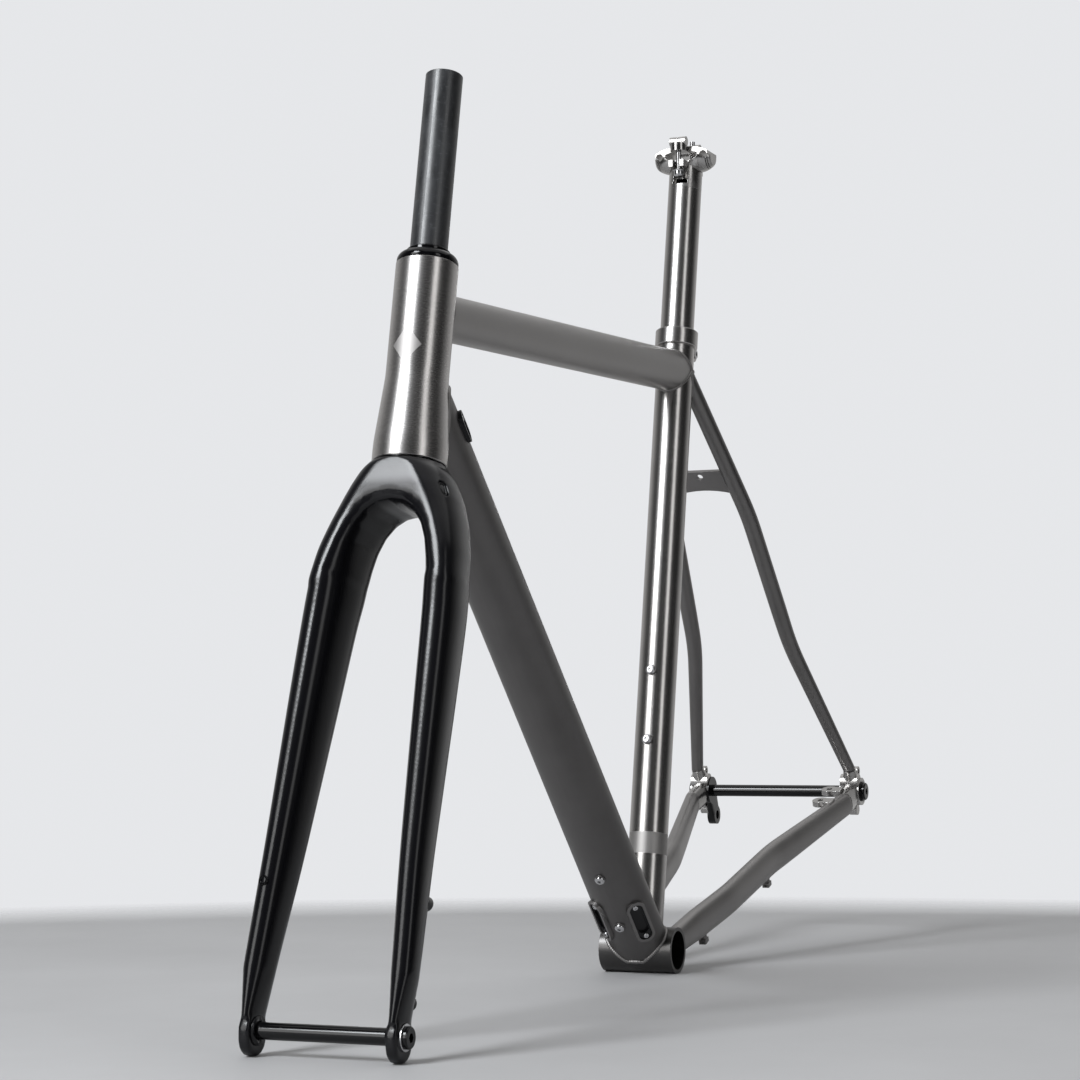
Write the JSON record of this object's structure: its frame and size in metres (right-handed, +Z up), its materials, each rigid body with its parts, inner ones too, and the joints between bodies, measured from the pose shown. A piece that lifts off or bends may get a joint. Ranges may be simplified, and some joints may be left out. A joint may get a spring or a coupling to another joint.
{
  "type": "bicycle frame with fork",
  "caption": "Titanium gravel bicycle frame with curved stays, black carbon fork, headset, thru axles, cut steerer and two-bolt seatpost.",
  "frame": {"origin": "centre of the bottom bracket shell", "axes": "+X forward, +Y to the rider's left along the bottom bracket axis, +Z up; the frame stands on its shell and both fork tips, 7.4 degrees nose-down from its riding attitude"},
  "size_m": [1.0493, 0.189, 0.7831],
  "materials": {
    "ti_brushed": "brushed titanium, satin",
    "ti_blasted": "bead-blasted titanium, matt",
    "ti_polished": "polished metal",
    "stainless": "stainless steel",
    "bearing_steel": "ground bearing steel",
    "carbon_painted": "satin black painted carbon",
    "carbon_raw": "bare carbon, sanded",
    "black_anodised": "black anodised aluminium",
    "black_plastic": "black nylon"
  },
  "bodies": {
    "frame": {"head_tube": "ti_brushed", "top_tube": "ti_blasted", "down_tube": "ti_blasted", "seat_tube": "ti_brushed", "bottom_bracket_shell": "ti_brushed", "chainstay_left": "ti_blasted", "chainstay_right": "ti_blasted", "seatstay_left": "ti_blasted", "seatstay_right": "ti_blasted", "seatstay_bridge": "ti_blasted", "dropout_left": "ti_polished", "dropout_right": "ti_polished", "brake_tabs": "ti_polished", "chainstay_guides": "ti_blasted", "bottle_bosses": "ti_blasted", "bottle_screws": "stainless", "lower_port_frames": "ti_blasted", "lower_port_inserts": "black_plastic", "upper_port_frames": "ti_blasted", "upper_port_inserts": "black_plastic", "port_screws": "stainless", "seat_collar": "ti_brushed", "seat_collar_bolt": "stainless", "derailleur_hanger": "black_anodised", "hanger_bolt": "black_anodised", "upper_bearing_outer": "bearing_steel", "lower_bearing_outer": "bearing_steel"},
    "fork": {"fork_steerer": "carbon_raw", "fork_crown": "carbon_painted", "fork_blade_left": "carbon_painted", "fork_blade_right": "carbon_painted", "fork_tip_left": "carbon_painted", "fork_tip_right": "carbon_painted", "fork_port_plug": "black_plastic", "fork_brake_mounts": "black_anodised", "fork_rack_insert": "black_anodised", "crown_race": "bearing_steel", "upper_bearing_inner": "bearing_steel", "lower_bearing_inner": "bearing_steel", "upper_bearing_balls": "bearing_steel", "lower_bearing_balls": "bearing_steel", "compression_ring": "black_anodised", "headset_cover": "black_anodised"},
    "front_washer": {"front_axle_washer": "stainless"},
    "front_thru_axle": {"front_axle": "black_anodised"},
    "rear_washer": {"rear_axle_washer": "black_anodised"},
    "rear_thru_axle": {"rear_axle": "black_anodised"},
    "seatpost": {"seatpost_tube": "ti_brushed", "seatpost_head": "ti_polished"},
    "saddle_clamp": {"lower_rail_clamp": "ti_polished", "upper_rail_clamp": "ti_polished", "clamp_nuts": "ti_polished"},
    "front_clamp_bolt": {"clamp_bolt_front": "stainless", "clamp_washer_front": "stainless"},
    "rear_clamp_bolt": {"clamp_bolt_rear": "stainless", "clamp_washer_rear": "stainless"}
  },
  "joints": [
    {"name": "steering", "type": "hinge", "parent": "frame", "child": "fork", "pos_m": [0.47498, 0, 0.39411], "axis": [-0.2049, 0, 0.9788], "continuous": true},
    {"name": "front_axle_draw", "type": "slide", "parent": "fork", "child": "front_washer", "axis": [0, 1, 0], "range_m": [0, 0.135]},
    {"name": "front_axle_turn", "type": "hinge", "parent": "front_washer", "child": "front_thru_axle", "pos_m": [0.60874, 0, -0.00285], "axis": [0, 1, 0], "continuous": true},
    {"name": "rear_axle_draw", "type": "slide", "parent": "frame", "child": "rear_washer", "axis": [0, 1, 0], "range_m": [0, 0.185]},
    {"name": "rear_axle_turn", "type": "hinge", "parent": "rear_washer", "child": "rear_thru_axle", "pos_m": [-0.40356, 0, 0.12819], "axis": [0, 1, 0], "continuous": true},
    {"name": "seat_height", "type": "slide", "parent": "frame", "child": "seatpost", "axis": [-0.186, 0, 0.9826], "range_m": [-0.12, 0.05]},
    {"name": "saddle_tilt", "type": "hinge", "parent": "seatpost", "child": "saddle_clamp", "pos_m": [-0.13758, 0, 0.74281], "axis": [0, 1, 0], "range_deg": [-12, 12]},
    {"name": "front_bolt_travel", "type": "slide", "parent": "saddle_clamp", "child": "front_clamp_bolt", "axis": [0, 0, 1], "range_m": [-0.0045, 0.0045]},
    {"name": "rear_bolt_travel", "type": "slide", "parent": "saddle_clamp", "child": "rear_clamp_bolt", "axis": [0, 0, 1], "range_m": [-0.0045, 0.0045]}
  ],
  "couplings": [
    {"joint": "front_bolt_travel", "follows": "saddle_tilt", "m_per_rad": 0.02},
    {"joint": "rear_bolt_travel", "follows": "saddle_tilt", "m_per_rad": -0.02}
  ]
}
